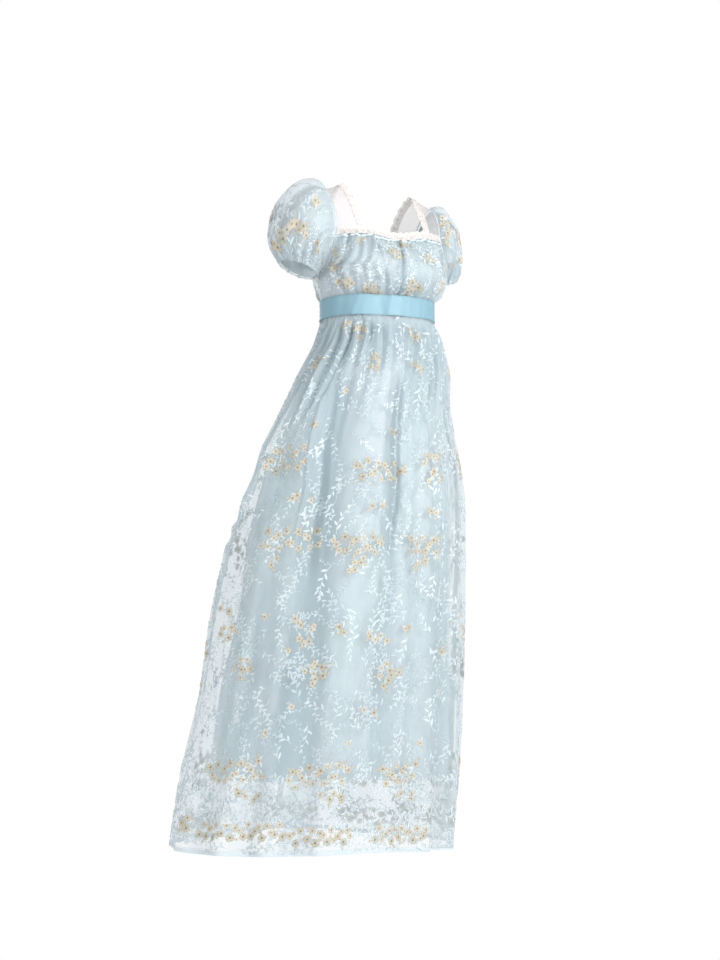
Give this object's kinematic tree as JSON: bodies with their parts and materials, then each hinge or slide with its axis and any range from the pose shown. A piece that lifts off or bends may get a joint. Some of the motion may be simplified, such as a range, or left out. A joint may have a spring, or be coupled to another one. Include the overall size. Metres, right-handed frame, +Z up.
{
  "type": "empire-line gown",
  "caption": "Floor-length empire-line gown with short puff sleeves, a square lace-edged neckline, a ribbon under the bust and a sheer gathered overskirt over a satin lining.",
  "frame": {"origin": "midway between the tops of the two shoulders, where the gown is held up", "axes": "+Z up along the wearer's height, front towards -Y, the wearer's right towards -X"},
  "size_m": [0.6198, 0.3988, 1.3191],
  "materials": {
    "tulle": "sheer pale blue tulle with embroidered vines and flowers",
    "satin": "soft pale blue satin lining",
    "ribbon": "sky blue satin ribbon",
    "net": "plain sheer white net",
    "lace": "white scalloped lace"
  },
  "bodies": {
    "root": {"bodice_front": "tulle", "bodice_back_left": "tulle", "bodice_back_right": "tulle", "bodice_lining_front": "satin", "bodice_lining_back_left": "satin", "bodice_lining_back_right": "satin", "shoulder_net_left": "net", "shoulder_net_right": "net", "lace_neck_front": "lace", "lace_neck_back": "lace", "lace_shoulder_left": "lace", "lace_shoulder_right": "lace", "sleeve_left": "tulle", "sleeve_right": "tulle", "sleeve_lining_left": "satin", "sleeve_lining_right": "satin", "waist_ribbon": "ribbon", "skirt_front": "tulle", "skirt_back_left": "tulle", "skirt_back_right": "tulle", "skirt_lining_front": "satin", "skirt_lining_back_left": "satin", "skirt_lining_back_right": "satin"}
  },
  "joints": []
}
